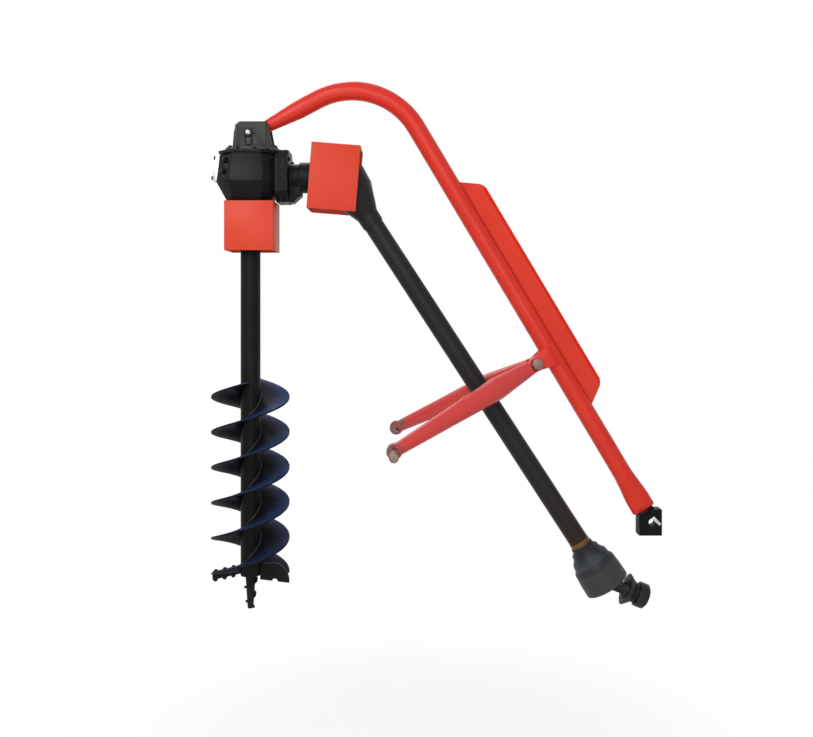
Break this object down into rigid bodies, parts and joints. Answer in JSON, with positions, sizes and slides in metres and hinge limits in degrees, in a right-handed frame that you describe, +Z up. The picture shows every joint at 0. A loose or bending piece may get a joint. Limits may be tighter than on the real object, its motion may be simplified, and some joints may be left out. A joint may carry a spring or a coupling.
{
  "type": "earth auger",
  "caption": "Tractor-mounted earth auger: bent boom with lift yoke, guarded bevel gearbox, telescoping shielded driveline and flighted auger with screw point.",
  "frame": {"origin": "centre of the top-link bore in the hitch block", "axes": "+X towards the tractor, +Y across it to the far side of the picture along the top-link bore, +Z up"},
  "size_m": [1.4442, 0.78, 1.6953],
  "materials": {
    "boom_paint": "gloss enamel",
    "yoke_paint": "gloss enamel",
    "guard_paint": "gloss enamel on sheet",
    "gearbox_paint": "gloss black on casting",
    "block_paint": "black",
    "auger_paint": "gloss black",
    "bright_steel": "zinc plated",
    "pin_steel": "worn",
    "shaft_steel": "machined",
    "yoke_steel": "dark forged",
    "seal_rubber": "matt",
    "shield_plastic": "moulded",
    "inner_shield_plastic": "moulded",
    "ring_plastic": "moulded"
  },
  "bodies": {
    "boom": {"boom_tube": "boom_paint", "boom_bend": "boom_paint", "boom_tail": "boom_paint", "boom_nose": "boom_paint", "boom_fin": "boom_paint", "boom_rear_bush": "boom_paint", "boom_tongue": "block_paint", "hitch_block": "block_paint", "hitch_bolts": "bright_steel", "hitch_clip": "bright_steel", "yoke_lugs": "boom_paint", "yoke_pivot_pin": "bright_steel"},
    "lift_yoke": {"yoke_head": "yoke_paint", "yoke_arm_left": "yoke_paint", "yoke_arm_right": "yoke_paint", "lower_link_pin_left": "pin_steel", "lower_link_pin_right": "pin_steel"},
    "gearbox": {"gearbox_case": "gearbox_paint", "gearbox_lid": "gearbox_paint", "boom_clevis": "gearbox_paint", "boom_pin": "bright_steel", "housing_bolts": "bright_steel", "side_cover": "bright_steel", "oil_plugs": "bright_steel", "input_housing": "gearbox_paint", "bearing_cups": "shaft_steel", "shaft_seals": "seal_rubber", "input_guard": "guard_paint", "output_guard": "guard_paint", "guard_bolts": "bright_steel"},
    "auger": {"output_shaft": "shaft_steel", "crown_gear": "shaft_steel", "output_bearing_cones": "shaft_steel", "auger_tube": "auger_paint", "auger_collar": "auger_paint", "auger_bolts": "bright_steel", "auger_flight_a": "auger_paint", "auger_flight_b": "auger_paint", "cutter_bar": "auger_paint", "cutter_blade": "auger_paint", "pilot_point": "auger_paint"},
    "pinion": {"input_shaft": "shaft_steel", "pinion_gear": "shaft_steel", "input_bearing_cones": "shaft_steel", "input_yoke": "yoke_steel", "input_joint_cross": "shaft_steel"},
    "drive_shield": {"upper_bell": "shield_plastic", "outer_shield_tube": "shield_plastic", "upper_shield_ring": "ring_plastic"},
    "upper_shaft": {"upper_yoke": "yoke_steel", "outer_drive_tube": "shaft_steel"},
    "lower_shield": {"lower_bell": "inner_shield_plastic", "inner_shield_tube": "inner_shield_plastic", "lower_shield_ring": "ring_plastic"},
    "lower_shaft": {"lower_yoke": "yoke_steel", "inner_drive_bar": "shaft_steel"},
    "lower_cross": {"lower_cross": "shaft_steel"},
    "tractor_yoke": {"tractor_yoke": "yoke_steel"},
    "locking_collar": {"locking_collar": "yoke_steel"}
  },
  "joints": [
    {"name": "gearbox_swing", "type": "hinge", "parent": "boom", "child": "gearbox", "pos_m": [-1.28916, 0, 1.24276], "axis": [0, 1, 0], "range_deg": [0, 50]},
    {"name": "auger_spin", "type": "hinge", "parent": "gearbox", "child": "auger", "pos_m": [-1.28916, 0, 1.10496], "axis": [0, 0, 1], "continuous": true},
    {"name": "pinion_spin", "type": "hinge", "parent": "gearbox", "child": "pinion", "pos_m": [-1.28916, 0, 1.10496], "axis": [1, 0, 0], "continuous": true},
    {"name": "driveline_pitch", "type": "hinge", "parent": "gearbox", "child": "drive_shield", "pos_m": [-0.99116, 0, 1.10496], "axis": [0, 1, 0], "range_deg": [-50, 0]},
    {"name": "upper_shaft_spin", "type": "hinge", "parent": "drive_shield", "child": "upper_shaft", "pos_m": [-0.99116, 0, 1.10496], "axis": [0.5446, 0, -0.8387], "continuous": true},
    {"name": "driveline_extend", "type": "slide", "parent": "drive_shield", "child": "lower_shield", "axis": [0.5446, 0, -0.8387], "range_m": [0, 0.3]},
    {"name": "lower_shaft_spin", "type": "hinge", "parent": "lower_shield", "child": "lower_shaft", "pos_m": [-0.14969, 0, -0.19079], "axis": [0.5446, 0, -0.8387], "continuous": true},
    {"name": "lower_cross_tilt", "type": "hinge", "parent": "lower_shaft", "child": "lower_cross", "pos_m": [-0.14969, 0, -0.19079], "axis": [-0.8387, 0, -0.5446], "range_deg": [-20, 20]},
    {"name": "tractor_yoke_bend", "type": "hinge", "parent": "lower_cross", "child": "tractor_yoke", "pos_m": [-0.14969, 0, -0.19079], "axis": [0, 1, 0], "range_deg": [0, 70]},
    {"name": "collar_slide", "type": "slide", "parent": "tractor_yoke", "child": "locking_collar", "axis": [-0.9272, 0, 0.3746], "range_m": [0, 0.01], "stiffness_N_per_m": 1500, "springref_m": -0.01},
    {"name": "yoke_swing", "type": "hinge", "parent": "boom", "child": "lift_yoke", "pos_m": [-0.36985, 0, 0.50715], "axis": [0, 1, 0], "range_deg": [-28, 22]}
  ],
  "couplings": [
    {"joint": "pinion_spin", "follows": "auger_spin", "ratio": -3},
    {"joint": "upper_shaft_spin", "follows": "auger_spin", "ratio": -3},
    {"joint": "lower_shaft_spin", "follows": "auger_spin", "ratio": -3},
    {"joint": "driveline_pitch", "follows": "gearbox_swing", "ratio": -1}
  ]
}
